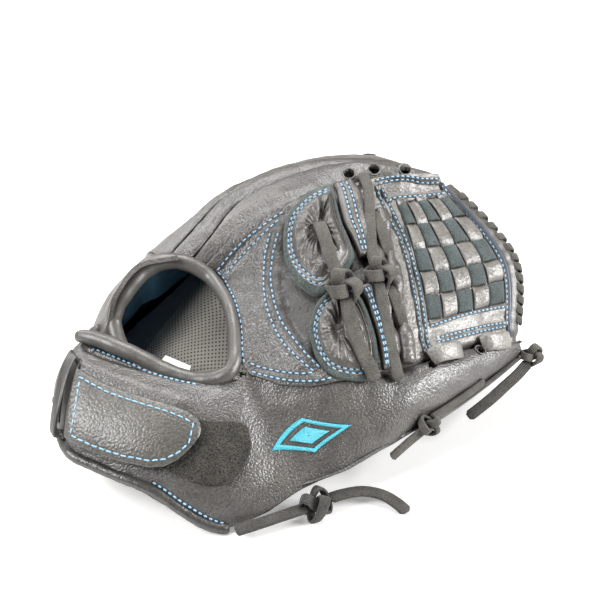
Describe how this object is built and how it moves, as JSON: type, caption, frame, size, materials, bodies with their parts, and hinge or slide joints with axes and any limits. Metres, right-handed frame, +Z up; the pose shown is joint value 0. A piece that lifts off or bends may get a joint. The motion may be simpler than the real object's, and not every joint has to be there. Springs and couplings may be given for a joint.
{
  "type": "softball glove",
  "caption": "Fielder's softball glove in dark leather, lying palm down, with finger stalls, a woven web, lacing and a wrist strap; the pocket folds shut and the strap opens.",
  "frame": {"origin": "middle of the glove's underside as it lies palm down, without the two loose lace tails", "axes": "+X from the wrist to the fingertips, +Y from the thumb to the little finger, +Z up from the floor to the back of the hand"},
  "size_m": [0.3096, 0.2533, 0.1292],
  "materials": {
    "grey_leather": "semi-matt pebbled",
    "dark_leather": "semi-matt smooth",
    "suede": "matt napped",
    "lace_leather": "waxed rawhide",
    "blue_lining": "woven",
    "perforated_lining": "perforated",
    "hook_and_loop": "pile",
    "felt": "pressed felt",
    "white_tape": "woven tape"
  },
  "bodies": {
    "thumb_half": {"thumb_stall": "grey_leather", "wrist_band": "grey_leather", "gusset_thumb_side": "grey_leather", "web_panel": "grey_leather", "web_tab_index": "grey_leather", "web_tab_thumb": "grey_leather", "strap_base": "grey_leather", "opening_welt_gusset": "dark_leather", "band_lip_welt": "dark_leather", "heel_welt": "dark_leather", "palm_thumb_side": "dark_leather", "web_bar_1": "dark_leather", "web_bar_2": "dark_leather", "web_binding": "dark_leather", "strap_keeper": "dark_leather", "web_strip_1": "suede", "web_strip_2": "suede", "web_strip_3": "suede", "web_strip_4": "suede", "web_strip_5": "suede", "web_edge_lace": "lace_leather", "tab_lace": "lace_leather", "bar_lace": "lace_leather", "tab_knot": "lace_leather", "bar_knot": "lace_leather", "index_web_lace": "lace_leather", "thumb_web_lace": "lace_leather", "thumb_edge_lace": "lace_leather", "thumb_edge_knot": "lace_leather", "thumb_tip_knot": "lace_leather", "thumb_tip_tail": "lace_leather", "heel_knot": "lace_leather", "heel_lace": "lace_leather", "heel_lace_tail": "lace_leather", "palm_lining_thumb_side": "perforated_lining", "loop_patch": "hook_and_loop", "thumb_felt": "felt", "band_pad": "felt", "thumb_heel_pad": "felt", "size_tag": "white_tape"},
    "finger_half": {"index_stall": "grey_leather", "middle_stall": "grey_leather", "ring_stall": "grey_leather", "pinky_stall": "grey_leather", "pinky_felt": "felt", "side_wrist_panel": "grey_leather", "side_wrist_welt": "dark_leather", "back_lining": "blue_lining", "opening_welt_fingers": "dark_leather", "gusset_finger_side": "grey_leather", "palm_finger_side": "dark_leather", "palm_lining_finger_side": "perforated_lining", "pinky_heel_pad": "felt", "fingertip_lace": "lace_leather"},
    "strap": {"strap_flap": "grey_leather", "hook_patch": "hook_and_loop"}
  },
  "joints": [
    {"name": "glove_close", "type": "hinge", "parent": "thumb_half", "child": "finger_half", "pos_m": [0.13071, -0.00167, 0.1], "axis": [-0.9565, 0.1798, -0.2296], "range_deg": [-8, 20], "stiffness_Nm_per_rad": 4},
    {"name": "strap_open", "type": "hinge", "parent": "thumb_half", "child": "strap", "pos_m": [-0.14292, 0.00118, 0.05938], "axis": [-0.5656, -0.5811, -0.5852], "range_deg": [0, 150]}
  ]
}
